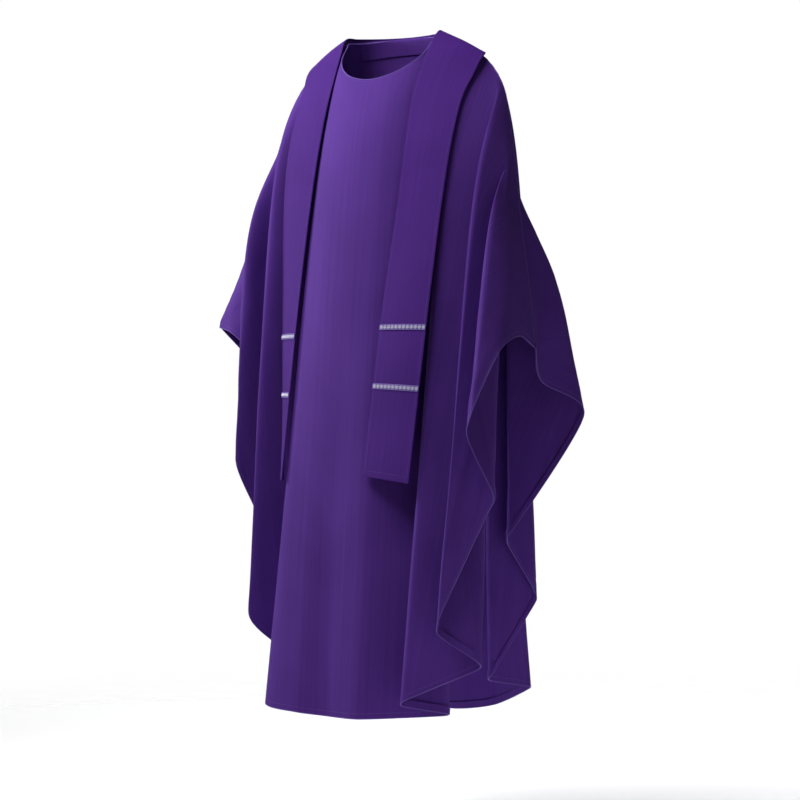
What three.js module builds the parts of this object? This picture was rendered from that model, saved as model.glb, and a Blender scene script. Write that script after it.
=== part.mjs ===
// A liturgical chasuble with its outer stole, in the shape it takes when it is worn.
// Millimetres. +Z is up, -Y is the front, +X is the wearer's left.
// The origin is the centre of the neck opening at the height where neck and shoulder meet.
import * as THREE from 'three';
import { ParametricGeometry } from 'three/addons/geometries/ParametricGeometry.js';
import { mergeVertices } from 'three/addons/utils/BufferGeometryUtils.js';

// Cloth
const panelThickness = 1.4;
const facingThickness = 0.8;
const layerThickness = 0.6;
const braidThickness = 1.0;
const layerGap = 0.45;
const foldRoom = 0.5;
const stoleGap = 0.9;

// Widths of the sewn parts
const neckFacingWidth = 30;
const hemFacingWidth = 14;
const seamTapeWidth = 12;
const braidWidth = 9;
const braidInset = 0.5;

// Facets
const panelColumns = 84;
const panelRows = 14;

// Stole
const hingeHeight = -120;
const hingeGap = 0.6;
const bandEnd = -816;
const leftBraidHeights = [-541, -648];
const rightBraidHeights = [-553, -661];

const chasubleColour = 0x53308a;
const liningColour = 0x472773;
const stoleColour = 0x4a2a74;
const interliningColour = 0xd8d4dc;
const braidColour = 0xb4a4d8;

// Lines the cloth hangs from. Each runs from the centre outwards: the neckline up to the side of
// the neck, then the shoulder and arm seam down to the corner of the sleeve.
const leftSeam = [
  [95, 10, 0], [140, 22, -14], [187, 34, -44], [222, 38, -96],
  [243, 34, -200], [266, 22, -330], [292, 8, -460], [312, -6, -565],
];
const rightSeam = [
  [-95, 10, 0], [-140, 21, -14], [-187, 31, -44], [-232, 31, -100],
  [-270, 25, -200], [-308, 12, -330], [-343, -3, -440], [-372, -20, -519],
];
const frontNeckline = [
  [-95, 10, 0], [-88, -26, -38], [-52, -58, -70], [0, -68, -82], [52, -58, -70], [88, -26, -38], [95, 10, 0],
];
const backNeckline = [
  [-95, 10, 0], [-80, 44, 4], [-44, 62, 8], [0, 68, 9], [44, 62, 8], [80, 44, 4], [95, 10, 0],
];

// Fold lines, from the wearer's right sleeve to the left. top says where on the line above a fold
// begins: -2 is the right sleeve corner, -1 and 1 the sides of the neck, 2 the left sleeve corner.
// hem is its lower end. bulge is the share of its reach that it gains in the roll over the shoulder.
const frontFolds = [
  { top: -2.00, hem: [-373, -22, -530], bulge: 0.3 },
  { top: -1.93, hem: [-320, -58, -541], bulge: 0.5 },
  { top: -1.80, hem: [-288, -56, -570], bulge: 0.5 },
  { top: -1.62, hem: [-266, -118, -781], bulge: 0.6 },
  { top: -1.50, hem: [-232, -86, -905], bulge: 0.5 },
  { top: -1.38, hem: [-219, -142, -1068], bulge: 0.5 },
  { top: -1.20, hem: [-150, -84, -1165], bulge: 0.35 },
  { top: -1.06, hem: [-121, -232, -1217], bulge: 0.2 },
  { top: -0.62, hem: [-48, -243, -1226], bulge: 0.25 },
  { top: -0.05, hem: [6, -228, -1231], bulge: 0.3 },
  { top: 0.50, hem: [84, -238, -1231], bulge: 0.25 },
  { top: 1.06, hem: [220, -156, -1224], bulge: 0.3 },
  { top: 1.12, hem: [222, -174, -1218], bulge: 0.3 },
  { top: 1.22, hem: [168, -228, -1203], bulge: 0.35 },
  { top: 1.26, hem: [178, -240, -1194], bulge: 0.35 },
  { top: 1.34, hem: [288, -164, -1137], bulge: 0.35 },
  { top: 1.38, hem: [292, -182, -1122], bulge: 0.35 },
  { top: 1.44, hem: [240, -226, -1074], bulge: 0.38 },
  { top: 1.47, hem: [250, -240, -1052], bulge: 0.38 },
  { top: 1.54, hem: [308, -152, -848], bulge: 0.33 },
  { top: 1.57, hem: [314, -170, -824], bulge: 0.33 },
  { top: 1.61, hem: [292, -214, -728], bulge: 0.42 },
  { top: 1.66, hem: [306, -222, -694], bulge: 0.45 },
  { top: 1.76, hem: [324, -150, -582], bulge: 0.5 },
  { top: 1.88, hem: [318, -70, -557], bulge: 0.5 },
  { top: 2.00, hem: [313, -8, -576], bulge: 0.3 },
];
const backFolds = [
  { top: -2.00, hem: [-373, -18, -530], bulge: 0.3 },
  { top: -1.90, hem: [-345, 52, -602], bulge: 0.4 },
  { top: -1.76, hem: [-362, 140, -690], bulge: 0.42 },
  { top: -1.62, hem: [-238, 110, -920], bulge: 0.38 },
  { top: -1.57, hem: [-228, 124, -942], bulge: 0.38 },
  { top: -1.48, hem: [-254, 182, -1026], bulge: 0.36 },
  { top: -1.44, hem: [-250, 198, -1042], bulge: 0.36 },
  { top: -1.33, hem: [-158, 148, -1182], bulge: 0.32 },
  { top: -1.28, hem: [-152, 162, -1190], bulge: 0.32 },
  { top: -1.16, hem: [-194, 228, -1216], bulge: 0.3 },
  { top: -1.10, hem: [-186, 240, -1222], bulge: 0.3 },
  { top: -0.60, hem: [-92, 262, -1256], bulge: 0.25 },
  { top: 0.00, hem: [-6, 236, -1268], bulge: 0.3 },
  { top: 0.60, hem: [78, 260, -1258], bulge: 0.25 },
  { top: 1.10, hem: [170, 238, -1218], bulge: 0.3 },
  { top: 1.16, hem: [176, 226, -1214], bulge: 0.3 },
  { top: 1.28, hem: [130, 158, -1200], bulge: 0.32 },
  { top: 1.33, hem: [134, 144, -1192], bulge: 0.32 },
  { top: 1.44, hem: [210, 190, -1042], bulge: 0.36 },
  { top: 1.48, hem: [212, 176, -1026], bulge: 0.36 },
  { top: 1.57, hem: [186, 126, -942], bulge: 0.38 },
  { top: 1.62, hem: [194, 112, -920], bulge: 0.38 },
  { top: 1.76, hem: [333, 146, -690], bulge: 0.42 },
  { top: 1.90, hem: [290, 60, -636], bulge: 0.4 },
  { top: 2.00, hem: [313, -4, -576], bulge: 0.3 },
];
const rollLength = 0.1;
const fullness = 0.9;

const vector = ([x, y, z]) => new THREE.Vector3(x, y, z);
const curve = (points) => new THREE.CatmullRomCurve3(points.map(vector), false, 'centripetal');

// One panel of the chasuble as a surface: u runs from sleeve to sleeve, row from 0 at the top
// edge to panelRows at the hem.
class DrapedPanel {
  constructor(neckline, folds, side) {
    this.neck = curve(neckline);
    this.left = curve(leftSeam);
    this.right = curve(rightSeam);
    this.folds = folds;
    this.side = side;
    this.tops = new THREE.CatmullRomCurve3(folds.map((fold) => new THREE.Vector3(fold.top, 0, 0)));
  }

  // A point of the line the panel hangs from, kept clear of the other panel at the seam.
  edge(top) {
    const reach = THREE.MathUtils.clamp(top, -2, 2);
    const point = new THREE.Vector3();
    if (reach < -1) this.right.getPoint(-reach - 1, point);
    else if (reach > 1) this.left.getPoint(reach - 1, point);
    else this.neck.getPoint((reach + 1) / 2, point);
    point.y += this.side * layerGap;
    return point;
  }

  // Share of the way down a column at a row: fine steps under the facing and the hem.
  share(height, row) {
    const facing = Math.min(neckFacingWidth / height, 0.2);
    const hem = 1 - Math.min(hemFacingWidth / height, 0.2);
    const last = panelRows - 2;
    if (row <= 2) return facing * row / 2;
    if (row >= last) return hem + (1 - hem) * (row - last) / 2;
    const along = (row - 2) / (last - 2);
    return facing + (hem - facing) * Math.pow(along, 1.25);
  }

  // Where each fold line is at a row.
  foldsAt(row) {
    return this.folds.map((fold) => {
      const start = this.edge(fold.top);
      const span = vector(fold.hem).sub(start);
      const down = this.share(-span.z, row);
      const roll = (1 - Math.exp(-down / rollLength)) / (1 - Math.exp(-1 / rollLength));
      const out = fold.bulge * roll + (1 - fold.bulge) * down;
      return start.add(new THREE.Vector3(span.x * out, span.y * out, span.z * down));
    });
  }

  at(u, row) {
    const settled = roundedPath(this.foldsAt(row), u);
    const correction = this.edge(this.tops.getPoint(u).x).sub(roundedPath(this.foldsAt(0), u));
    const fade = Math.pow(1 - row / panelRows, 4);
    return settled.addScaledVector(correction, fade);
  }
}

// A smooth path through points that turns with a rounded back at each one, however sharp the
// turn is. u is 0 at the first point and 1 at the last.
function roundedPath(points, u) {
  const last = points.length - 1;
  const k = Math.min(Math.floor(u * last), last - 1);
  const tangent = (i) => {
    const before = points[i].clone().sub(points[Math.max(i - 1, 0)]);
    const after = points[Math.min(i + 1, last)].clone().sub(points[i]);
    const reach = Math.min(before.length() || after.length(), after.length() || before.length());
    return before.normalize().add(after.normalize()).normalize().multiplyScalar(reach * fullness);
  };
  const [from, to] = [points[k], points[k + 1]];
  const leave = from.clone().addScaledVector(tangent(k), 1 / 3);
  const arrive = to.clone().addScaledVector(tangent(k + 1), -1 / 3);
  return new THREE.CubicBezierCurve3(from, leave, arrive, to).getPoint(u * last - k);
}

// A closed sheet of even thickness on a surface. The surface is a function of two numbers,
// across and down, each from 0 to 1. depth moves the sheet inwards from the surface.
function sheet(surface, thickness, columns, rows, depth = 0, turn = 1) {
  const step = 1e-3;
  const place = (across, down, shift) => {
    const a = Math.min(across, 1 - step);
    const d = Math.min(down, 1 - step);
    const point = surface(a, d);
    const wide = surface(a + step, d).sub(point);
    const long = surface(a, d + step).sub(point);
    const normal = wide.cross(long).normalize().multiplyScalar(turn);
    return surface(across, down).addScaledVector(normal, shift);
  };
  const loop = 2 * (columns + 1);
  const geometry = new ParametricGeometry((u, v, target) => {
    const way = turn > 0 ? u : 1 - u;
    const k = Math.round(way * loop) % loop;
    const outside = k <= columns;
    const across = outside ? k / columns : 1 - (k - columns - 1) / columns;
    const edge = v < 1e-9 || v > 1 - 1e-9;
    const half = edge ? 0 : thickness / 2;
    target.copy(place(across, v, (outside ? half : -half) - depth));
  }, loop, rows);
  const isOuter = (quad) => (turn > 0 ? quad : loop - 1 - quad) < columns;
  return closed(geometry, loop, isOuter);
}

// Joins the seams of a wrapped geometry and drops the triangles that the joining flattens. Inner
// quads are split along the diagonal of the outer quad over them, so a twisted sheet keeps its
// thickness in the middle of each quad.
function closed(geometry, loop, isOuter) {
  geometry.deleteAttribute('normal');
  geometry.deleteAttribute('uv');
  const merged = mergeVertices(geometry, 1e-3);
  const index = merged.getIndex().array;
  const kept = [];
  const keep = (a, b, c) => {
    if (a !== b && b !== c && c !== a) kept.push(a, b, c);
  };
  for (let i = 0; i < index.length; i += 6) {
    const [a, b, d, c] = [index[i], index[i + 1], index[i + 2], index[i + 4]];
    if (isOuter((i / 6) % loop)) {
      keep(a, b, d);
      keep(b, c, d);
    } else {
      keep(a, b, c);
      keep(a, c, d);
    }
  }
  merged.setIndex(kept);
  merged.computeVertexNormals();
  return merged;
}

const garment = new THREE.Group();

function addPiece(name, geometry, color, roughness) {
  const material = new THREE.MeshStandardMaterial({ color, roughness, metalness: 0 });
  const piece = new THREE.Mesh(geometry, material);
  piece.name = name;
  garment.add(piece);
  return piece;
}

const front = new DrapedPanel(frontNeckline, frontFolds, -1);
const back = new DrapedPanel(backNeckline, backFolds, 1);

const frontTurn = -1;
const backTurn = 1;
const insideDepth = (panelThickness + facingThickness) / 2 + layerGap;

// A strip of a panel as a surface: between two of its columns and two of its rows.
const part = (panel, from, to, top, bottom) => (across, down) =>
  panel.at(THREE.MathUtils.lerp(from, to, across) / panelColumns, THREE.MathUtils.lerp(top, bottom, down));

// The first and last whole columns of a panel whose tops lie between two places on its top line.
function columnsBetween(panel, low, high) {
  const inside = [];
  for (let k = 0; k <= panelColumns; k += 1) {
    const top = panel.tops.getPoint(k / panelColumns).x;
    if (top >= low && top <= high) inside.push(k);
  }
  return [inside[0], inside[inside.length - 1]];
}

function addPanel(name, panel, turn) {
  const surface = part(panel, 0, panelColumns, 0, panelRows);
  const geometry = sheet(surface, panelThickness, panelColumns, panelRows, 0, turn);
  addPiece(`${name}_panel`, geometry, chasubleColour, 0.8);
}

// Facings lie on the inside of a panel and share its columns, so their faces stay parallel.
function addNeckFacing(name, panel, turn) {
  const [from, to] = columnsBetween(panel, -0.78, 0.78);
  const surface = part(panel, from, to, 0, 2);
  const geometry = sheet(surface, facingThickness, to - from, 2, insideDepth, turn);
  addPiece(`${name}_neck_facing`, geometry, chasubleColour, 0.8);
}

function addHemFacing(name, panel, turn) {
  const surface = part(panel, 1, panelColumns - 1, panelRows - 2, panelRows);
  const geometry = sheet(surface, facingThickness, panelColumns - 2, 2, insideDepth + foldRoom, turn);
  addPiece(`${name}_hem_facing`, geometry, chasubleColour, 0.8);
}

// The tape that stays the shoulder and arm seam, inside the front panel.
function addSeamTape(name, low, high) {
  const [from, to] = columnsBetween(front, low, high);
  const start = 0.4;
  const end = start + 2 * seamTapeWidth / neckFacingWidth;
  const surface = part(front, from, to, start, end);
  const geometry = sheet(surface, facingThickness, to - from, 2, insideDepth, frontTurn);
  addPiece(`${name}_shoulder_seam_tape`, geometry, liningColour, 0.7);
}

// The stole, as pairs of points on its inner and outer edges. Each collar half runs from the
// collarbone up over the shoulder to the nape, and each band hangs from the collarbone.
const nape = {
  inner: [[101, 10, 10], [93, 38, 13], [72, 60, 14], [48, 71, 14], [22, 77, 14], [0.4, 79, 14]],
  outer: [[188, 34, -34], [155, 50, -52], [122, 62, -66], [92, 85, -69], [45, 103, -70], [0.4, 110, -69]],
};
const mirrored = (points) => points.map(([x, y, z]) => [-x, y, z]);
const leftCollar = {
  inner: [[92, -68, -119.4], [96, -44, -64], [98, -18, -22], ...nape.inner],
  outer: [[182, -38, -119.4], [187, -8, -78], [190, 12, -50], ...nape.outer],
};
const rightCollar = {
  inner: [[-100, -56, -119.4], [-98, -34, -64], [-98, -14, -22], ...mirrored(nape.inner)],
  outer: [[-190, -21, -119.4], [-190, -2, -78], [-190, 11, -50], ...mirrored(nape.outer)],
};
const leftBand = {
  inner: [[92, -68, -120], [92, -92, -200], [92, -114, -300], [84, -154, -500], [71, -200, bandEnd + 12]],
  outer: [[182, -38, -120], [181, -74, -200], [180, -104, -300], [178, -150, -500], [169, -204, bandEnd]],
};
const rightBand = {
  inner: [[-100, -56, -120], [-107, -73, -200], [-111, -94, -300], [-118, -127, -500], [-123, -174, bandEnd]],
  outer: [[-190, -21, -120], [-196, -44, -200], [-195, -61, -300], [-188, -76, -500], [-171, -99, bandEnd]],
};
const bandColumns = 6;
const bandRows = 20;
const collarRows = 26;
const crown = 3;

// A strip between two edge curves, slightly crowned across its width towards the outside.
function strip(edges, turn) {
  const inner = curve(edges.inner);
  const outer = curve(edges.outer);
  return (across, down) => {
    const near = inner.getPoint(down);
    const far = outer.getPoint(down);
    const wide = far.clone().sub(near);
    const long = inner.getTangent(down);
    const lift = turn * crown * Math.sin(Math.PI * across);
    const out = wide.clone().cross(long).normalize();
    return near.addScaledVector(wide, across).addScaledVector(out, lift);
  };
}

// The stole is three layers: the shell, an interlining and a lining.
function addLayers(name, surface, rows, turn, trimEnd) {
  const layers = [
    ['shell', stoleColour, 0.75],
    ['interlining', interliningColour, 0.9],
    ['lining', liningColour, 0.5],
  ];
  layers.forEach(([layer, colour, roughness], k) => {
    const inset = k === 0 ? 0 : 0.02;
    const end = trimEnd && k > 0 ? 0.99 : 1;
    const inner = (across, down) => surface(THREE.MathUtils.lerp(inset, 1 - inset, across), down * end);
    const depth = k * (layerThickness + stoleGap);
    const geometry = sheet(inner, layerThickness, bandColumns, rows, depth, turn);
    addPiece(`${name}_${layer}`, geometry, colour, roughness);
  });
}

// How far down a band, from 0 to 1, its middle line is at a height.
function placeAt(surface, height) {
  let [above, below] = [0, 1];
  for (let i = 0; i < 30; i += 1) {
    const middle = (above + below) / 2;
    if (surface(0.5, middle).z > height) above = middle;
    else below = middle;
  }
  return below;
}

function addBraids(side, surface, heights, turn) {
  heights.forEach((height, k) => {
    const top = placeAt(surface, height + braidWidth / 2);
    const bottom = placeAt(surface, height - braidWidth / 2);
    const span = (across, down) => surface(
      THREE.MathUtils.lerp(0.005, 0.995, across),
      THREE.MathUtils.lerp(top, bottom, down),
    );
    const depth = -(layerThickness + braidThickness) / 2 - braidInset;
    const name = `${side}_band_${k === 0 ? 'upper' : 'lower'}_braid`;
    addPiece(name, sheet(span, braidThickness, bandColumns, 2, depth, turn), braidColour, 0.45);
  });
}

function addStole(side, collarEdges, bandEdges, heights, turn) {
  addLayers(`${side}_stole_collar`, strip(collarEdges, turn), collarRows, turn, false);
  const band = strip(bandEdges, -turn);
  const topGap = hingeGap / (hingeHeight - bandEnd);
  const hanging = (across, down) => band(across, THREE.MathUtils.lerp(topGap, 1, down));
  addLayers(`${side}_stole_band`, hanging, bandRows, -turn, true);
  addBraids(side, band, heights, -turn);
}

addPanel('front', front, frontTurn);
addPanel('back', back, backTurn);
addNeckFacing('front', front, frontTurn);
addNeckFacing('back', back, backTurn);
addSeamTape('left', 1.03, 1.9);
addSeamTape('right', -1.9, -1.03);
addHemFacing('front', front, frontTurn);
addHemFacing('back', back, backTurn);
addStole('left', leftCollar, leftBand, leftBraidHeights, 1);
addStole('right', rightCollar, rightBand, rightBraidHeights, -1);

export default garment;
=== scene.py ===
import math

import bmesh
import bpy
import numpy as np
from mathutils import Matrix, Vector


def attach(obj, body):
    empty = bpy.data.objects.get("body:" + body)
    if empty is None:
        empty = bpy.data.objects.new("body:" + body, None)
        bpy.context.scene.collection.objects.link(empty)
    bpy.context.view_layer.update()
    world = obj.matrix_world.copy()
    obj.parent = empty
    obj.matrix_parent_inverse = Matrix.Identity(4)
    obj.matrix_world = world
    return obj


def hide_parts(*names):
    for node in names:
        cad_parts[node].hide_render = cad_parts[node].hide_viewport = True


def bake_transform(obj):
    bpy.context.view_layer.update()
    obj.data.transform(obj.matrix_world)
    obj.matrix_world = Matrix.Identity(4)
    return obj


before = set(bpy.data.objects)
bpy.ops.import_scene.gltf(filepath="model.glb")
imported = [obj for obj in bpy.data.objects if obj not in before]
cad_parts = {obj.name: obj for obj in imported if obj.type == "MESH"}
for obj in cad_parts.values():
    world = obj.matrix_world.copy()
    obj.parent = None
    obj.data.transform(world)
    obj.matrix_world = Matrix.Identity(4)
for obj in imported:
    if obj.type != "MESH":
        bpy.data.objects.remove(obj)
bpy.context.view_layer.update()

# Metres. +Z is up, -Y is the front, +X is the wearer's left. The origin is the middle of the neck
# opening. The drape's lines below are written in millimetres and follow the frame's own lines.
mm = 0.001


# Points of a smooth line through a few points, at places from 0 to 1.
def linePoints(points, places):
    p = np.asarray(points, float)
    p = np.vstack([2 * p[0] - p[1], p, 2 * p[-1] - p[-2]])
    spans = len(p) - 3
    at = np.clip(np.asarray(places, float), 0, 1) * spans
    k = np.minimum(at.astype(int), spans - 1)
    t = (at - k)[:, None]
    a, b, c, d = p[k], p[k + 1], p[k + 2], p[k + 3]
    gap = lambda m, n: np.maximum(np.sqrt(np.linalg.norm(n - m, axis=1)), 1e-4)[:, None]
    ab, bc, cd = gap(a, b), gap(b, c), gap(c, d)
    leave = ((b - a) / ab - (c - a) / (ab + bc) + (c - b) / bc) * bc
    arrive = ((c - b) / bc - (d - b) / (bc + cd) + (d - c) / cd) * bc
    return (b + leave * t + (3 * c - 3 * b - 2 * leave - arrive) * t**2
            + (2 * b - 2 * c + leave + arrive) * t**3)


# A path through the folds of each row that turns with a rounded back at every fold.
def roundedPath(folds, across, fullness):
    last = folds.shape[1] - 1
    before = folds - folds[:, np.maximum(np.arange(last + 1) - 1, 0)]
    after = folds[:, np.minimum(np.arange(last + 1) + 1, last)] - folds
    lenBefore = np.linalg.norm(before, axis=2, keepdims=True)
    lenAfter = np.linalg.norm(after, axis=2, keepdims=True)
    reach = np.minimum(np.where(lenBefore > 0, lenBefore, lenAfter),
                       np.where(lenAfter > 0, lenAfter, lenBefore))
    way = before / np.maximum(lenBefore, 1e-9) + after / np.maximum(lenAfter, 1e-9)
    way = way / np.maximum(np.linalg.norm(way, axis=2, keepdims=True), 1e-9) * reach * fullness
    at = across * last
    k = np.minimum(at.astype(int), last - 1)
    t = (at - k)[None, :, None]
    a, d = folds[:, k], folds[:, k + 1]
    b, c = a + way[:, k] / 3, d - way[:, k + 1] / 3
    return a * (1 - t) ** 3 + 3 * b * t * (1 - t) ** 2 + 3 * c * t**2 * (1 - t) + d * t**3


def unit(v):
    return v / np.maximum(np.linalg.norm(v, axis=-1, keepdims=True), 1e-12)


def smoothStep(low, high, x):
    t = np.clip((x - low) / (high - low), 0, 1)
    return t * t * (3 - 2 * t)


# The two panels of the chasuble.

leftSeam = [(95, 10, 0), (140, 22, -14), (187, 34, -44), (222, 38, -96),
            (243, 34, -200), (266, 22, -330), (292, 8, -460), (312, -6, -565)]
rightSeam = [(-95, 10, 0), (-140, 21, -14), (-187, 31, -44), (-232, 31, -100),
             (-270, 25, -200), (-308, 12, -330), (-343, -3, -440), (-372, -20, -519)]

# Each fold: where it leaves the top edge, then the x, y and z of its end at the hem, then how much
# of its reach it gains in the roll over the shoulder. The sunk ones are valleys, with how many
# millimetres each one settles in behind its neighbours where the pleats are deepest.
frontPanel = {
    "side": -1,
    "sunk": {-1.50: 18, -1.20: 14, 1.06: 16, 1.12: 14, 1.34: 16, 1.38: 16, 1.54: 8, 1.57: 8},
    "neckline": [(-95, 10, 0), (-88, -26, -38), (-52, -58, -70), (0, -68, -82),
                 (52, -58, -70), (88, -26, -38), (95, 10, 0)],
    "folds": [
        (-2.00, -373, -22, -530, 0.3), (-1.93, -320, -58, -541, 0.5), (-1.80, -288, -56, -570, 0.5),
        (-1.62, -266, -118, -781, 0.6), (-1.50, -232, -86, -905, 0.5), (-1.38, -219, -142, -1068, 0.5),
        (-1.20, -150, -84, -1165, 0.35), (-1.06, -121, -232, -1217, 0.2), (-0.62, -48, -243, -1226, 0.25),
        (-0.05, 6, -228, -1231, 0.3), (0.50, 84, -238, -1231, 0.25), (1.06, 220, -156, -1224, 0.3),
        (1.12, 222, -174, -1218, 0.3), (1.22, 168, -228, -1203, 0.35), (1.26, 178, -240, -1194, 0.35),
        (1.34, 288, -164, -1137, 0.35), (1.38, 292, -182, -1122, 0.35), (1.44, 240, -226, -1074, 0.38),
        (1.47, 250, -240, -1052, 0.38), (1.54, 308, -152, -848, 0.33), (1.57, 314, -170, -824, 0.33),
        (1.61, 292, -214, -728, 0.42), (1.66, 306, -222, -694, 0.45), (1.76, 324, -150, -582, 0.5),
        (1.88, 318, -70, -557, 0.5), (2.00, 313, -8, -576, 0.3),
    ],
}
backPanel = {
    "side": 1,
    "sunk": {-1.62: 12, -1.57: 12, -1.33: 14, -1.28: 14, 0.00: 14, 1.28: 14, 1.33: 14, 1.57: 12, 1.62: 12},
    "neckline": [(-95, 10, 0), (-80, 44, 4), (-44, 62, 8), (0, 68, 9),
                 (44, 62, 8), (80, 44, 4), (95, 10, 0)],
    "folds": [
        (-2.00, -373, -18, -530, 0.3), (-1.90, -345, 52, -602, 0.4), (-1.76, -362, 140, -690, 0.42),
        (-1.62, -238, 110, -920, 0.38), (-1.57, -228, 124, -942, 0.38), (-1.48, -254, 182, -1026, 0.36),
        (-1.44, -250, 198, -1042, 0.36), (-1.33, -158, 148, -1182, 0.32), (-1.28, -152, 162, -1190, 0.32),
        (-1.16, -194, 228, -1216, 0.3), (-1.10, -186, 240, -1222, 0.3), (-0.60, -92, 262, -1256, 0.25),
        (0.00, -6, 236, -1268, 0.3), (0.60, 78, 260, -1258, 0.25), (1.10, 170, 238, -1218, 0.3),
        (1.16, 176, 226, -1214, 0.3), (1.28, 130, 158, -1200, 0.32), (1.33, 134, 144, -1192, 0.32),
        (1.44, 210, 190, -1042, 0.36), (1.48, 212, 176, -1026, 0.36), (1.57, 186, 126, -942, 0.38),
        (1.62, 194, 112, -920, 0.38), (1.76, 333, 146, -690, 0.42), (1.90, 290, 60, -636, 0.4),
        (2.00, 313, -4, -576, 0.3),
    ],
}
drape = {
    "columns": 250,      # cells from sleeve to sleeve
    "rows": 150,         # cells from the top edge to the hem
    "thickness": 1.1,    # mm, cloth with its crepe surface
    "fullness": 0.9,     # how round the back of a fold is
    "rollLength": 0.1,   # share of the drop in which the cloth rolls over the shoulder
    "frameRows": 14,     # rows of the frame's own panels
    "ripple": 4.0,       # mm, depth of the loose ripples
    "seamGap": 0.45,     # mm, from the seam line to each panel's middle
}


def topLine(panel, tops):
    tops = np.clip(tops, -2, 2)
    right = linePoints(rightSeam, -tops - 1)
    left = linePoints(leftSeam, tops - 1)
    neck = linePoints(panel["neckline"], (tops + 1) / 2)
    line = np.where((tops < -1)[:, None], right, np.where((tops > 1)[:, None], left, neck))
    line[:, 1] += panel["side"] * drape["seamGap"]
    return line


def topsAt(panel, across):
    tops = np.array([[f[0], 0, 0] for f in panel["folds"]])
    return linePoints(tops, across)[:, 0]


# Points of the hanging cloth in millimetres. across runs from the right sleeve to the left, and
# rows from 0 at the top edge to 14 at the hem.
def drapePoints(panel, across, rows):
    folds = np.array(panel["folds"], float)
    start = topLine(panel, folds[:, 0])
    span = folds[:, 1:4] - start
    last = drape["frameRows"] - 2
    facing = np.minimum(30 / -span[:, 2], 0.2)
    hem = 1 - np.minimum(14 / -span[:, 2], 0.2)
    r = np.asarray(rows, float)[:, None]
    middle = facing + (hem - facing) * np.clip((r - 2) / (last - 2), 0, 1) ** 1.25
    down = np.where(r <= 2, facing * r / 2, np.where(r >= last, hem + (1 - hem) * (r - last) / 2, middle))
    roll = (1 - np.exp(-down / drape["rollLength"])) / (1 - math.exp(-1 / drape["rollLength"]))
    bulge = folds[:, 4]
    out = bulge * roll + (1 - bulge) * down
    at = start + np.stack([span[:, 0] * out, span[:, 1] * out, span[:, 2] * down], axis=2)
    sunk = np.array([panel["sunk"].get(f[0], 0) for f in panel["folds"]])
    at[..., 1] -= panel["side"] * sunk * np.sin(np.pi * np.sqrt(down))
    settled = roundedPath(at, across, drape["fullness"])
    roundTop = roundedPath(at[:1] * 0 + start, across, drape["fullness"])[0]
    edge = topLine(panel, topsAt(panel, across)) - roundTop
    return settled + edge * (1 - r[:, :, None] / drape["frameRows"]) ** 4


# Distances along and down the cloth, which are its weave's own coordinates.
def flatPlaces(points):
    alongRow = np.linalg.norm(np.diff(points, axis=1), axis=2)
    alongRow = np.concatenate([np.zeros((len(points), 1)), np.cumsum(alongRow, axis=1)], axis=1)
    middle = points.shape[1] // 2
    alongRow -= alongRow[:, middle:middle + 1]
    downColumn = np.linalg.norm(np.diff(points, axis=0), axis=2)
    downColumn = np.concatenate([np.zeros((1, points.shape[1])), np.cumsum(downColumn, axis=0)], axis=0)
    return np.stack([alongRow, downColumn], axis=2)


def outward(points, side):
    wide = np.gradient(points, axis=1)
    long = np.gradient(points, axis=0)
    return unit(np.cross(long, wide)) * -side


# Loose shallow ripples that run down the cloth and grow towards the hem. They only go inwards, so
# the cloth stays clear of the stole that lies on it.
def ripples(flat, seed):
    rng = np.random.default_rng(seed)
    depth = np.zeros(flat.shape[:2])
    for wide, long in ((0.31, 1.9), (0.19, 1.1), (0.11, 0.8), (0.07, 0.42)):
        phase = rng.uniform(0, 6.28, 3)
        sway = 0.6 * np.sin(flat[..., 1] / long * 6.28 + phase[1])
        swell = np.sin(flat[..., 1] / long * 3.1 + phase[2])
        depth += wide * np.sin(flat[..., 0] / wide * 6.28 + phase[0] + sway) * swell
    return np.minimum((depth / 0.45 - 1) * 0.5, 0)


def evenColumns(panel, count):
    trial = np.linspace(0, 1, 2001)
    rows = drapePoints(panel, trial, [7, 14])
    steps = np.linalg.norm(np.diff(rows, axis=1), axis=2).mean(axis=0) + 0.15
    run = np.concatenate([[0], np.cumsum(steps)])
    return np.interp(np.linspace(0, run[-1], count + 1), run, trial)


def makePanel(panel, seed):
    across = evenColumns(panel, drape["columns"])
    rows = drape["frameRows"] * np.linspace(0, 1, drape["rows"] + 1) ** 1.05
    points = drapePoints(panel, across, rows) * mm
    flat = flatPlaces(points)
    normals = outward(points, panel["side"])
    fall = smoothStep(0.05, 0.9, flat[..., 1])
    points = points + normals * (ripples(flat, seed) * fall * drape["ripple"] * mm)[..., None]
    panel.update(across=across, rows=rows, points=points, flat=flatPlaces(points),
                 normals=outward(points, panel["side"]))


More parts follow.
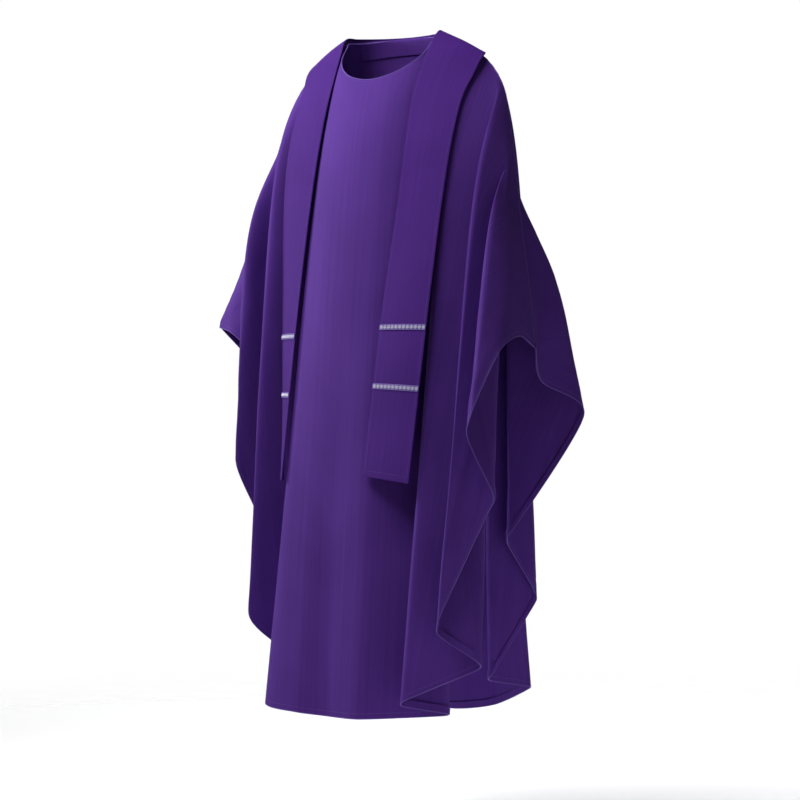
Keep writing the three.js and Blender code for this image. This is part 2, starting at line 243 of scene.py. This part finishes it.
# A sheet from rows of points, made from a grid so that its faces look the way its rows are turned.
def sheetObject(name, points, flat, thickness, turn=1):
    if turn < 0:
        points, flat = points[:, ::-1], flat[:, ::-1]
    rows, columns = points.shape[:2]
    bm = bmesh.new()
    bmesh.ops.create_grid(bm, x_segments=columns - 1, y_segments=rows - 1, size=0.5)
    mesh = bpy.data.meshes.new(name)
    bm.to_mesh(mesh)
    bm.free()
    # the grid's own first row becomes the sheet's lowest one
    mesh.vertices.foreach_set("co", points[::-1].reshape(-1).astype(np.float32))
    uv = mesh.uv_layers.new(name="flat")
    corner = np.zeros(len(mesh.loops), np.int32)
    mesh.loops.foreach_get("vertex_index", corner)
    uv.data.foreach_set("uv", flat[::-1].reshape(-1, 2)[corner].reshape(-1).astype(np.float32))
    mesh.polygons.foreach_set("use_smooth", [True] * len(mesh.polygons))
    mesh.update()
    piece = bpy.data.objects.new(name, mesh)
    bpy.context.scene.collection.objects.link(piece)
    if thickness:
        solid = piece.modifiers.new("thickness", "SOLIDIFY")
        solid.thickness = thickness
        solid.offset = 0.0
        solid.use_rim = True
        solid.use_even_offset = False
    return piece


def areaOf(points):
    wide = points[:-1, 1:] - points[:-1, :-1]
    long = points[1:, :-1] - points[:-1, :-1]
    other = points[1:, 1:] - points[:-1, 1:], points[1:, 1:] - points[1:, :-1]
    first = np.linalg.norm(np.cross(wide, long), axis=2).sum() / 2
    return float(first + np.linalg.norm(np.cross(other[0], other[1]), axis=2).sum() / 2)


makePanel(frontPanel, 11)
makePanel(backPanel, 23)
print("panels:", [round(areaOf(panel["points"]), 3) for panel in (frontPanel, backPanel)], "square metres")

frontCloth = sheetObject("frontCloth", frontPanel["points"], frontPanel["flat"], drape["thickness"] * mm, 1)
backCloth = sheetObject("backCloth", backPanel["points"], backPanel["flat"], drape["thickness"] * mm, -1)
for cloth, node in ((frontCloth, "front_panel"), (backCloth, "back_panel")):
    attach(cloth, "garment")
    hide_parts(node)

# Facings, tapes and hem facings: strips of the same cloth behind a panel.

def behind(panel, columns, rows, depth):
    block = np.ix_(rows, columns)
    return panel["points"][block] - panel["normals"][block] * depth * mm, panel["flat"][block]


def columnsFor(panel, low, high):
    tops = topsAt(panel, panel["across"])
    return np.where((tops >= low) & (tops <= high))[0]


def rowsFor(panel, low, high):
    return np.where((panel["rows"] >= low) & (panel["rows"] <= high))[0]


facings = {"depth": 1.6, "hemDepth": 2.1, "thickness": 0.6}
facingPieces = {}


def addFacing(name, panel, columns, rows, depth, node):
    points, flat = behind(panel, columns, rows, depth)
    piece = sheetObject(name, points, flat, facings["thickness"] * mm, -panel["side"])
    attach(piece, "garment")
    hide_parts(node)
    facingPieces[name] = piece


for panel, word in ((frontPanel, "front"), (backPanel, "back")):
    last = drape["columns"]
    addFacing(word + "NeckFacing", panel, columnsFor(panel, -0.82, 0.82), rowsFor(panel, 0.0, 2.0),
              facings["depth"], word + "_neck_facing")
    addFacing(word + "HemFacing", panel, np.arange(2, last - 1), rowsFor(panel, 12.0, 13.96),
              facings["hemDepth"], word + "_hem_facing")
addFacing("leftSeamTape", frontPanel, columnsFor(frontPanel, 1.03, 1.9), rowsFor(frontPanel, 0.35, 1.2),
          facings["depth"], "left_shoulder_seam_tape")
addFacing("rightSeamTape", frontPanel, columnsFor(frontPanel, -1.9, -1.03), rowsFor(frontPanel, 0.35, 1.2),
          facings["depth"], "right_shoulder_seam_tape")
print("facings:", len(facingPieces))


# Rolled edges, seams and stitches.

# Round cords along lines of points, made as a curve and kept as a mesh.
def cordObject(name, lines, radius, closed=False, sides=2):
    curve = bpy.data.curves.new(name + "Line", "CURVE")
    curve.dimensions = "3D"
    curve.bevel_depth = radius
    curve.bevel_resolution = sides
    curve.use_fill_caps = not closed
    for points in lines:
        spline = curve.splines.new("POLY")
        spline.points.add(len(points) - 1)
        spline.points.foreach_set("co", np.c_[points, np.ones(len(points))].astype(np.float32).ravel())
        spline.use_cyclic_u = closed
    holder = bpy.data.objects.new(name + "Line", curve)
    bpy.context.scene.collection.objects.link(holder)
    mesh = bpy.data.meshes.new_from_object(holder)
    bpy.data.objects.remove(holder)
    mesh.name = name
    mesh.polygons.foreach_set("use_smooth", [True] * len(mesh.polygons))
    piece = bpy.data.objects.new(name, mesh)
    bpy.context.scene.collection.objects.link(piece)
    return piece


# Evenly spaced points and directions along a line of points.
def along(points, spacing, normals=None):
    run = np.concatenate([[0], np.cumsum(np.linalg.norm(np.diff(points, axis=0), axis=1))])
    count = max(2, int(run[-1] / spacing))
    at = np.linspace(0, run[-1], count + 1)
    place = np.stack([np.interp(at, run, points[:, i]) for i in range(3)], axis=1)
    if normals is None:
        return place
    face = unit(np.stack([np.interp(at, run, normals[:, i]) for i in range(3)], axis=1))
    return place, face


# Short thread ends lying on the cloth, each a small oval with few faces.
def stitchObject(name, lines, stitch):
    bm = bmesh.new()
    for points, normals in lines:
        place, face = along(points, stitch["spacing"] * mm, normals)
        for a, b, n in zip(place[:-1], place[1:], face[:-1]):
            way = Vector(b - a).normalized()
            up = Vector(n)
            side = way.cross(up).normalized()
            up = side.cross(way)
            turned = Matrix((way, side, up)).transposed().to_4x4()
            half = Vector((stitch["length"], stitch["width"], stitch["height"])) * mm / 2
            size = Matrix.Diagonal((*half, 1))
            at = Matrix.Translation(Vector((a + b) / 2 + n * stitch["lift"] * mm))
            bmesh.ops.create_icosphere(bm, subdivisions=1, radius=1.0, matrix=at @ turned @ size)
    mesh = bpy.data.meshes.new(name)
    bm.to_mesh(mesh)
    bm.free()
    mesh.polygons.foreach_set("use_smooth", [True] * len(mesh.polygons))
    piece = bpy.data.objects.new(name, mesh)
    bpy.context.scene.collection.objects.link(piece)
    return piece


edging = {
    "hemRadius": 0.9,     # mm, the rolled hem
    "neckRadius": 1.0,    # mm, the turned neckline
    "seamRadius": 1.2,    # mm, the pressed shoulder and arm seam
    "hemStitchUp": 9.0,    # mm, from the hem to its stitch line
    "neckStitchIn": 5.0,   # mm, from the neckline to its stitch line
    "pucker": 0.5,         # mm, rise and fall of the arm seam along its thread
}
panelStitch = {"spacing": 4.0, "length": 3.0, "width": 0.7, "height": 0.5, "lift": 0.62}


def lineInside(panel, columns, distance, fromHem):
    # points at an even distance from the top edge or from the hem, column by column
    down = panel["flat"][:, columns, 1]
    target = down[-1] - distance * mm if fromHem else np.full(len(columns), distance * mm)
    points, normals = [], []
    for k, c in enumerate(columns):
        points.append([np.interp(target[k], down[:, k], panel["points"][:, c, i]) for i in range(3)])
        normals.append([np.interp(target[k], down[:, k], panel["normals"][:, c, i]) for i in range(3)])
    return np.array(points), unit(np.array(normals))


trimPieces = {"front": [], "back": []}
for panel, word in ((frontPanel, "front"), (backPanel, "back")):
    hem = cordObject(word + "HemEdge", [along(panel["points"][-1], 0.006)], edging["hemRadius"] * mm)
    neckColumns = columnsFor(panel, -1.0, 1.0)
    neckTop = along(panel["points"][0][neckColumns], 0.004)
    neck = cordObject(word + "NeckEdge", [neckTop], edging["neckRadius"] * mm)
    everyColumn = np.arange(1, drape["columns"])
    hemLine = lineInside(panel, everyColumn, edging["hemStitchUp"], True)
    neckLine = lineInside(panel, neckColumns, edging["neckStitchIn"], False)
    stitches = stitchObject(word + "Stitching", [hemLine, neckLine], panelStitch)
    for piece in (hem, neck, stitches):
        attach(piece, "garment")
        trimPieces[word].append(piece)
seamTops = {"leftSeamEdge": np.linspace(1.0, 2.0, 120), "rightSeamEdge": np.linspace(-2.0, -1.0, 120)}
for name, tops in seamTops.items():
    line = topLine(dict(frontPanel, side=0), tops) * mm
    # the seam puckers a little along its thread
    line[:, 2] += edging["pucker"] * mm * np.sin(np.arange(len(tops)) * 1.3)
    piece = cordObject(name, [along(line, 0.005)], edging["seamRadius"] * mm)
    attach(piece, "garment")
    trimPieces["front"].append(piece)
print("edges and stitches done")


# The outer stole: two bands joined at the nape, each of three layers. Pairs of points run from the
# lower end of a band up to the nape.
nape = {
    "inner": [(101, 10, 10), (93, 38, 13), (72, 60, 14), (48, 71, 14), (22, 77, 14), (0.4, 79, 14)],
    "outer": [(188, 34, -34), (155, 50, -52), (122, 62, -66), (92, 85, -69), (45, 103, -70), (0.4, 110, -69)],
}
stole = {
    "crown": 3.0,          # mm, how far the middle of a band stands proud of its edges
    "turnIn": 9.0,         # mm, shell turned over to the back
    "edgeRadius": 1.05,    # mm, round of the turned edge
    "shell": 0.55,         # mm, thickness of each layer
    "interlining": 0.5,
    "lining": 0.45,
    "step": 5.0,           # mm between rows
    "hinge": -120.0,       # mm, height of the hinge on a band
    "bend": 14.0,          # mm above and below the hinge
    "stitchIn": 4.0,       # mm, from an edge to its stitch line
}
stoleStitch = {"spacing": 4.5, "length": 3.2, "width": 0.6, "height": 0.45, "lift": 0.34}
leftStole = {
    "turn": 1, "side": "left", "braids": (-541, -648),
    "inner": [(71, -200, -804), (84, -154, -500), (92, -114, -300), (92, -92, -200), (92, -68, -120),
              (96, -44, -64), (98, -18, -22)] + nape["inner"],
    "outer": [(169, -204, -816), (178, -150, -500), (180, -104, -300), (181, -74, -200), (182, -38, -120),
              (187, -8, -78), (190, 12, -50)] + nape["outer"],
}
mirrored = lambda points: [(-x, y, z) for x, y, z in points]
rightStole = {
    "turn": -1, "side": "right", "braids": (-553, -661),
    "inner": [(-123, -174, -816), (-118, -127, -500), (-111, -94, -300), (-107, -73, -200), (-100, -56, -120),
              (-98, -34, -64), (-98, -14, -22)] + mirrored(nape["inner"]),
    "outer": [(-171, -99, -816), (-188, -76, -500), (-195, -61, -300), (-196, -44, -200), (-190, -21, -120),
              (-190, -2, -78), (-190, 11, -50)] + mirrored(nape["outer"]),
}


# Points of a band's middle surface for shares across and down, in millimetres.
def bandPoints(band, across, down):
    near, far = linePoints(band["inner"], down), linePoints(band["outer"], down)
    ahead = linePoints(band["inner"], np.minimum(down + 1e-3, 1))
    behindIt = linePoints(band["inner"], np.maximum(down - 1e-3, 0))
    wide = far - near
    out = unit(np.cross(wide, ahead - behindIt)) * band["turn"]
    lift = stole["crown"] * np.sin(np.pi * np.clip(across, 0, 1))
    points = near[:, None] + wide[:, None] * across[None, :, None] + out[:, None] * lift[None, :, None]
    return points, np.repeat(out[:, None], len(across), axis=1)


def bandRows(band):
    trial = np.linspace(0, 1, 2001)
    middle = (linePoints(band["inner"], trial) + linePoints(band["outer"], trial)) / 2
    run = np.concatenate([[0], np.cumsum(np.linalg.norm(np.diff(middle, axis=0), axis=1))])
    return np.interp(np.linspace(0, run[-1], int(run[-1] / stole["step"]) + 1), run, trial)


def placeOfHeight(band, height):
    trial = np.linspace(0, 0.5, 4001)
    middle = (linePoints(band["inner"], trial)[:, 2] + linePoints(band["outer"], trial)[:, 2]) / 2
    return float(np.interp(height, middle, trial))


# The shell: a face, an edge rolled over at each side and at the lower end, and turnings behind.
def shellPoints(band):
    rows = bandRows(band)
    width = np.linalg.norm(np.subtract(band["outer"][2], band["inner"][2]))
    turnIn, radius = stole["turnIn"] / width, stole["edgeRadius"]
    arc = np.linspace(0, math.pi, 7)[1:-1]
    bend = np.sin(arc) * radius / width
    across = np.concatenate([[turnIn, turnIn / 2, 0.012], 0.012 - bend, np.linspace(0.012, 0.988, 27),
                             0.988 + bend, [0.988, 1 - turnIn / 2, 1 - turnIn]])
    deep = 2 * radius
    depth = np.concatenate([[deep] * 3, radius + np.cos(arc) * radius, np.zeros(27),
                            radius - np.cos(arc) * radius, [deep] * 3])
    points, out = bandPoints(band, across, rows)
    points = points - out * depth[None, :, None]
    # the lower end turns up behind the face
    endPoints, endOut = bandPoints(band, across, np.array([0.0, rows[1] * 0.5, rows[1] * 1.6]))
    down = unit(endPoints[0] - endPoints[1])
    extra = np.where(depth > 0.01, 0.25, 1.0)[:, None]
    back = depth[:, None] + deep * extra
    hem = [endPoints[2] - endOut[2] * back, endPoints[1] - endOut[1] * back,
           endPoints[0] - endOut[0] * (back - deep * extra * 0.05)]
    for angle in np.linspace(0, math.pi, 7)[1:-1]:
        sink = (1 - np.cos(math.pi - angle)) / 2 * deep
        sunk = depth[:, None] + sink * extra
        hem.append(endPoints[0] + down * math.sin(angle) * radius - endOut[0] * sunk)
    return np.concatenate([np.array(hem), points], axis=0)


# Looks up the point of a band at the height of the hinge, then bakes the piece's placement into its mesh.
def hang(piece, band):
    hinge, bend = stole["hinge"], stole["bend"]
    x, y, z = linePoints(band["inner"], [placeOfHeight(band, hinge)])[0] * mm
    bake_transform(piece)


stolePieces = {}
stoleTrims = {}
for band in (leftStole, rightStole):
    side = band["side"]
    shell = shellPoints(band)
    rows = bandRows(band)
    layers = {}
    for layer, inset, depth, end in (("Interlining", 0.03, 1.05, 0.006), ("Lining", 0.05, 2.75, 0.005)):
        across = np.linspace(inset, 1 - inset, 20)
        lower = np.linspace(end, 1, len(rows))
        points, out = bandPoints(band, across, np.interp(lower, np.linspace(0, 1, len(rows)), rows))
        layers[layer] = points - out * depth
    for layer, points in (("Shell", shell), *layers.items()):
        points = points[::-1] * mm
        flat = flatPlaces(points)
        name = side + "Stole" + layer
        piece = sheetObject(name, points, flat, stole[layer.lower()] * mm, band["turn"])
        nodes = [f"{side}_stole_collar_{layer.lower()}", f"{side}_stole_band_{layer.lower()}"]
        # the nape end is the first row of the sheet
        hang(piece, band)
        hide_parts(*nodes)
        stolePieces[name] = piece
    # stitching along both long edges and across the lower end
    width = np.linalg.norm(np.subtract(band["outer"][2], band["inner"][2]))
    inset = stole["stitchIn"] / width
    points, out = bandPoints(band, np.array([inset, 1 - inset]), rows[2:-2])
    lines = [(points[:, k] * mm, out[:, k]) for k in (0, 1)]
    endPoints, endOut = bandPoints(band, np.linspace(0.05, 0.95, 20), rows[2:3])
    lines.append((endPoints[0] * mm, endOut[0]))
    stitches = stitchObject(side + "StoleStitching", lines, stoleStitch)
    hang(stitches, band)
    stoleTrims[side] = [stitches]
seamPoints, seamOut = bandPoints(leftStole, np.linspace(0.02, 0.98, 20), np.array([1.0]))
napeSeam = cordObject("napeSeam", [(seamPoints[0] + seamOut[0] * 0.1) * mm], 0.0006)
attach(napeSeam, "garment")
stoleTrims["left"].append(napeSeam)
print("stole:", len(stolePieces), "layers")


# Braids: a flat woven ribbon with a rolled cord at each edge and a row of raised loops between.
braid = {
    "width": 9.0,
    "thickness": 0.7,
    "lift": 1.15,              # mm, from the shell's middle to the ribbon's middle
    "cordRadius": 0.6,
    "loopLength": 7.4,         # mm along the braid, one raised loop and the gap after it
    "loopRadius": 0.55,
    "crossRadius": 0.5,        # mm, the two threads that cross inside a loop
}
braidPieces = {}
for band in (leftStole, rightStole):
    side = band["side"]
    for height, word in zip(band["braids"], ("Upper", "Lower")):
        low, high = (placeOfHeight(band, height + sign * braid["width"] / 2) for sign in (-1, 1))
        across = np.linspace(0.004, 0.996, 60)
        points, out = bandPoints(band, across, np.linspace(high, low, 5))
        points = (points + out * braid["lift"]) * mm
        flat = flatPlaces(points)
        name = side + word + "Braid"
        ribbon = sheetObject(name, points, flat, braid["thickness"] * mm, band["turn"])
        edges = []
        for row, part in ((0, "Top"), (-1, "Bottom")):
            raised = points[row] + out[0] * 0.25 * mm
            edge = along(raised, 0.0015)
            edges.append(cordObject(name + part + "Cord", [edge], braid["cordRadius"] * mm, sides=3))
        run = np.concatenate([[0], np.cumsum(np.linalg.norm(np.diff(points[2], axis=0), axis=1))])
        count = int(run[-1] / (braid["loopLength"] * mm))
        tall = unit(points[0][30] - points[-1][30])
        rings, crosses = [], []
        turns = np.linspace(0, 2 * math.pi, 13)[:-1]
        for k in range(count):
            reach = braid["loopLength"] * 0.37 * mm * np.cos(turns)
            rise = braid["width"] * 0.28 * mm * np.sin(turns)
            spots = np.clip((k + 0.5) / count * run[-1] + reach, 0, run[-1])
            centre = np.stack([np.interp(spots, run, points[2][:, i]) for i in range(3)], axis=1)
            lift = (0.42 + 0.12 * np.cos(turns * 2)) * mm
            rings.append(centre + tall * rise[:, None] + out[2][30] * lift[:, None])
            # points 2 and 8, and 4 and 10, of the ring face each other across it
            crosses += [rings[-1][[2, 8]], rings[-1][[4, 10]]]
        loopPiece = cordObject(name + "Loops", rings, braid["loopRadius"] * mm, closed=True, sides=1)
        crossPiece = cordObject(name + "Crosses", crosses, braid["crossRadius"] * mm, sides=1)
        for piece in (ribbon, *edges, loopPiece, crossPiece):
            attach(piece, side + "_band")
        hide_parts(f"{side}_band_{word.lower()}_braid")
        braidPieces[name] = (ribbon, [*edges, loopPiece, crossPiece])
print("braids:", len(braidPieces))


# Materials. Colours are given as the eye reads them and turned to linear.

def linear(hexColour):
    parts = [int(hexColour[i:i + 2], 16) / 255 for i in (1, 3, 5)]
    return [c / 12.92 if c <= 0.04045 else ((c + 0.055) / 1.055) ** 2.4 for c in parts] + [1.0]


# Adds a node, sets what it is told and links what it is given.
def addNode(owner, kind, inputs=None, **settings):
    node = owner.node_tree.nodes.new(kind)
    for name, value in settings.items():
        setattr(node, name, value)
    for name, value in (inputs or {}).items():
        socket = node.inputs[name]
        if isinstance(value, bpy.types.NodeSocket):
            owner.node_tree.links.new(value, socket)
        else:
            socket.default_value = value
    return node


def startMaterial(name):
    material = bpy.data.materials.new(name)
    material.use_nodes = True
    material.node_tree.nodes.clear()
    return material


def endMaterial(material, shader):
    addNode(material, "ShaderNodeOutputMaterial", {"Surface": shader.outputs[0]})
    return material


# Woven polyester crepe: matt, with a fine dry grain and faint streaks down the warp. Threads are
# about 0.3 mm apart; they are drawn 0.8 to 2 mm apart so that they show.
def wovenCloth(name, look):
    m = startMaterial(name)
    if look["onUv"]:
        place = addNode(m, "ShaderNodeUVMap", uv_map="flat").outputs["UV"]
    else:
        place = addNode(m, "ShaderNodeTexCoord").outputs["Object"]
    wave = 0.314 / (look["thread"] * mm)     # a wave texture's bands are 0.314 apart at a scale of 1
    warp = addNode(m, "ShaderNodeTexWave", {"Vector": place, "Scale": wave, "Distortion": 0.6, "Detail": 1.0,
                                            "Detail Scale": 2.0}, bands_direction="X").outputs["Fac"]
    weft = addNode(m, "ShaderNodeTexWave", {"Vector": place, "Scale": wave * 1.1, "Distortion": 0.6,
                                            "Detail": 1.0, "Detail Scale": 2.0},
                   bands_direction="Y").outputs["Fac"]
    threads = addNode(m, "ShaderNodeMath", {0: warp, 1: weft}, operation="MULTIPLY").outputs[0]
    grain = addNode(m, "ShaderNodeTexNoise", {"Vector": place, "Scale": look["grain"], "Detail": 3.0,
                                              "Roughness": 0.6}).outputs["Fac"]
    height = addNode(m, "ShaderNodeMath", {0: threads, 1: grain}, operation="ADD").outputs[0]
    tall = addNode(m, "ShaderNodeMapping", {"Vector": place,
                                            "Scale": (look["streaks"], 1.5, 1.5)}).outputs["Vector"]
    streak = addNode(m, "ShaderNodeTexNoise", {"Vector": tall, "Scale": 1.0, "Detail": 4.0,
                                               "Roughness": 0.65}).outputs["Fac"]
    cloud = addNode(m, "ShaderNodeTexNoise", {"Vector": place, "Scale": 5.0, "Detail": 2.0}).outputs["Fac"]
    shades = addNode(m, "ShaderNodeMath", {0: streak, 1: cloud}, operation="ADD").outputs[0]
    share = addNode(m, "ShaderNodeMapRange", {"Value": shades, "From Min": 0.66, "From Max": 1.34,
                                              "To Min": 0.0, "To Max": 1.0}).outputs["Result"]
    # the colour sockets of a mix node come after its number and vector ones
    body = addNode(m, "ShaderNodeMix", {0: share, 6: linear(look["dark"]), 7: linear(look["light"])},
                   data_type="RGBA")
    colour = body.outputs[2]
    # painted shade: the hollows between threads are made a little darker, and the backs of the threads a
    # little lighter as a painted highlight
    hollowShade = addNode(m, "ShaderNodeMapRange", {
        "Value": threads, "From Min": 0.0, "From Max": 0.8, "To Min": 1.0 - look["hollowShade"],
        "To Max": 1.0 + look["hollowShade"] * 0.5}).outputs["Result"]
    toned = addNode(m, "ShaderNodeHueSaturation", {"Color": colour, "Value": hollowShade}).outputs["Color"]
    bump = addNode(m, "ShaderNodeBump", {"Height": height, "Strength": look["bump"],
                                         "Distance": 0.00035}).outputs["Normal"]
    shader = addNode(m, "ShaderNodeBsdfPrincipled", {
        "Base Color": toned, "Roughness": look["roughness"], "IOR": 1.5,
        "Specular IOR Level": look["specular"], "Sheen Weight": look["sheen"], "Sheen Roughness": 0.45,
        "Sheen Tint": linear(look["sheenTint"]), "Normal": bump})
    return endMaterial(m, shader)


looks = {
    "chasublePurple": {"onUv": True, "dark": "#4F2885", "light": "#5D3498",
                       "thread": 1.3, "grain": 900.0, "streaks": 160.0,
                       "hollowShade": 0.1, "bump": 0.6, "roughness": 0.8, "specular": 0.18, "sheen": 0.05,
                       "sheenTint": "#8C74C0"},
    # the rolled edges' purple is lighter than the cloth: a painted sheen highlight along the hem, neckline
    # and seams
    "edgeHighlightPurple": {"onUv": False, "dark": "#5C3E9A", "light": "#6C4EAA",
                   "thread": 1.3, "grain": 900.0, "streaks": 40.0,
                   "hollowShade": 0.08, "bump": 0.3, "roughness": 0.6, "specular": 0.4, "sheen": 0.2,
                   "sheenTint": "#A892D8"},
    "stolePurple": {"onUv": True, "dark": "#431B76", "light": "#502587",
                    "thread": 1.1, "grain": 1100.0, "streaks": 220.0,
                    "hollowShade": 0.09, "bump": 0.5, "roughness": 0.74, "specular": 0.12, "sheen": 0.05,
                    "sheenTint": "#8467B0"},
    "stoleLining": {"onUv": True, "dark": "#43256A", "light": "#4F2F7C",
                    "thread": 0.9, "grain": 400.0, "streaks": 300.0,
                    "hollowShade": 0.04, "bump": 0.15, "roughness": 0.42, "specular": 0.5, "sheen": 0.05,
                    "sheenTint": "#9C86CC"},
    "stiffening": {"onUv": True, "dark": "#D2CEDA", "light": "#E4E1E8",
                   "thread": 2.0, "grain": 600.0, "streaks": 60.0,
                   "hollowShade": 0.1, "bump": 0.4, "roughness": 0.9, "specular": 0.2, "sheen": 0.0,
                   "sheenTint": "#FFFFFF"},
    "seamTape": {"onUv": True, "dark": "#432468", "light": "#4F2D78",
                 "thread": 1.0, "grain": 700.0, "streaks": 90.0,
                 "hollowShade": 0.12, "bump": 0.4, "roughness": 0.62, "specular": 0.35, "sheen": 0.05,
                 "sheenTint": "#8C74C0"},
    "sewingThread": {"onUv": False, "dark": "#5C3C98", "light": "#6E50AC",
                     "thread": 0.8, "grain": 1500.0, "streaks": 30.0,
                     "hollowShade": 0.1, "bump": 0.3, "roughness": 0.45, "specular": 0.45, "sheen": 0.1,
                     "sheenTint": "#A892D8"},
    "braidGround": {"onUv": True, "dark": "#5240A0", "light": "#6A55B0",
                    "thread": 0.9, "grain": 1200.0, "streaks": 500.0,
                    "hollowShade": 0.25, "bump": 0.6, "roughness": 0.5, "specular": 0.5, "sheen": 0.15,
                    "sheenTint": "#D8CCF4"},
    "braidCord": {"onUv": False, "dark": "#846CCC", "light": "#A08ADC",
                  "thread": 0.8, "grain": 1500.0, "streaks": 300.0,
                  "hollowShade": 0.2, "bump": 0.6, "roughness": 0.4, "specular": 0.5, "sheen": 0.1,
                  "sheenTint": "#E0D4FA"},
    "braidThread": {"onUv": False, "dark": "#E6DCFC", "light": "#F8F4FF",
                    "thread": 0.8, "grain": 1500.0, "streaks": 300.0,
                    "hollowShade": 0.2, "bump": 0.6, "roughness": 0.38, "specular": 0.6, "sheen": 0.2,
                    "sheenTint": "#F0E8FF"},
}
cloths = {name: wovenCloth(name, look) for name, look in looks.items()}


def dress(piece, name):
    piece.data.materials.clear()
    piece.data.materials.append(cloths[name])


for piece in (frontCloth, backCloth):
    dress(piece, "chasublePurple")
for name, piece in facingPieces.items():
    dress(piece, "seamTape" if "Tape" in name else "chasublePurple")
# the rolled edges and seams take the lighter purple, a painted highlight; the stitching takes the thread
# colour
for word, pieces in trimPieces.items():
    for piece in pieces:
        dress(piece, "sewingThread" if "Stitching" in piece.name else "edgeHighlightPurple")
for name, piece in stolePieces.items():
    dress(piece, "stolePurple" if "Shell" in name else "stoleLining" if "Lining" in name else "stiffening")
for name, (ribbon, others) in braidPieces.items():
    dress(ribbon, "braidGround")
    for piece in others:
        dress(piece, "braidCord" if piece.name.endswith("Cord") else "braidThread")
for pieces in stoleTrims.values():
    for piece in pieces:
        dress(piece, "sewingThread" if "Stitching" in piece.name else "stolePurple")
print("materials:", len(cloths))


# The side and layer of each stole sheet, read from its name.
for name, piece in stolePieces.items():
    layer = name.split("Stole")[1]
    side = name.split("Stole")[0]


# Floor, light and camera.
studio = {
    "floorHeight": -1.5,
    "floorRadius": 3.2,
    "ambient": 0.06,
    "keyPower": 13.0,
    "fillPower": 5.0,
    "sidePower": 13.0,
    "backPower": 26.0,
    "floorPower": 1.4,
    "cameraAzimuth": 32.0,
    "cameraDistance": 4.5,
    "cameraHeight": -0.67,
    "aim": (0.0174, 0.0109),
    "lens": 108.9,
}
bm = bmesh.new()
bmesh.ops.create_circle(bm, cap_ends=True, segments=96, radius=studio["floorRadius"],
                        matrix=Matrix.Translation((0, 0, studio["floorHeight"])))
floorMesh = bpy.data.meshes.new("floor")
bm.to_mesh(floorMesh)
bm.free()
floor = bpy.data.objects.new("floor", floorMesh)
bpy.context.scene.collection.objects.link(floor)
# pale matt studio floor that fades out towards its rim
pale = startMaterial("paleFloor")
where = addNode(pale, "ShaderNodeTexCoord").outputs["Object"]
away = addNode(pale, "ShaderNodeVectorMath", {0: where, 1: (0.0, 0.0, -studio["floorHeight"])},
               operation="ADD").outputs[0]
reach = addNode(pale, "ShaderNodeVectorMath", {0: away}, operation="LENGTH").outputs["Value"]
fade = addNode(pale, "ShaderNodeMapRange", {
    "Value": reach, "From Min": 0.7, "From Max": studio["floorRadius"] * 0.97, "To Min": 0.0, "To Max": 1.0},
    interpolation_type="SMOOTHSTEP").outputs["Result"]
matt = addNode(pale, "ShaderNodeBsdfPrincipled", {"Base Color": linear("#F2F2F4"), "Roughness": 0.9})
clear = addNode(pale, "ShaderNodeBsdfTransparent")
both = addNode(pale, "ShaderNodeMixShader", {0: fade, 1: matt.outputs[0], 2: clear.outputs[0]})
endMaterial(pale, both)
floorMesh.materials.append(pale)

world = bpy.data.worlds.new("studio")
world.use_nodes = True
world.node_tree.nodes.clear()
soft = addNode(world, "ShaderNodeBackground", {"Color": linear("#FAFAFF"), "Strength": studio["ambient"]})
white = addNode(world, "ShaderNodeBackground", {"Color": linear("#FFFFFF"), "Strength": 1.0})
seen = addNode(world, "ShaderNodeLightPath").outputs["Is Camera Ray"]
sky = addNode(world, "ShaderNodeMixShader", {0: seen, 1: soft.outputs[0], 2: white.outputs[0]})
addNode(world, "ShaderNodeOutputWorld", {"Surface": sky.outputs[0]})
bpy.context.scene.world = world


def softbox(name, azimuth, elevation, distance, size, power, colour, aim=(0.0, 0.0, -0.45), spread=180):
    light = bpy.data.lights.new(name, "AREA")
    light.size = size
    light.energy = power
    light.spread = math.radians(spread)
    light.color = linear(colour)[:3]
    holder = bpy.data.objects.new(name, light)
    bpy.context.scene.collection.objects.link(holder)
    a, e = math.radians(azimuth), math.radians(elevation)
    way = Vector((math.sin(a) * math.cos(e), -math.cos(a) * math.cos(e), math.sin(e)))
    holder.location = Vector(aim) + way * distance
    holder.rotation_euler = (-way).to_track_quat("-Z", "Y").to_euler()


softbox("keyLight", -20, 47, 1.95, 1.3, studio["keyPower"], "#FFFFFF", (0, 0, 0.14), 76)
softbox("fillLight", 75, 10, 3.6, 2.0, studio["fillPower"], "#FFFFFF")
softbox("sideLight", -75, 15, 2.6, 0.9, studio["sidePower"], "#FFFFFF", (-0.3, 0, -0.3), 90)
softbox("backLight", 215, 25, 3.2, 1.6, studio["backPower"], "#FFFFFF")

# an even soft light for the floor alone, so that it stays pale
onFloor = bpy.data.collections.new("floorOnly")
onFloor.objects.link(floor)
wash = bpy.data.lights.new("floorWash", "SUN")
wash.energy = studio["floorPower"]
wash.angle = 1.2
washHolder = bpy.data.objects.new("floorWash", wash)
bpy.context.scene.collection.objects.link(washHolder)
washHolder.light_linking.receiver_collection = onFloor

camera = bpy.data.objects.new("camera", bpy.data.cameras.new("camera"))
bpy.context.scene.collection.objects.link(camera)
turn = math.radians(studio["cameraAzimuth"])
camera.location = (studio["aim"][0] + math.sin(turn) * studio["cameraDistance"],
                   studio["aim"][1] - math.cos(turn) * studio["cameraDistance"], studio["cameraHeight"])
camera.rotation_euler = (math.pi / 2, 0, turn)
camera.data.lens = studio["lens"]
bpy.context.scene.camera = camera
bpy.context.scene.view_settings.view_transform = "Standard"
print("studio ready")
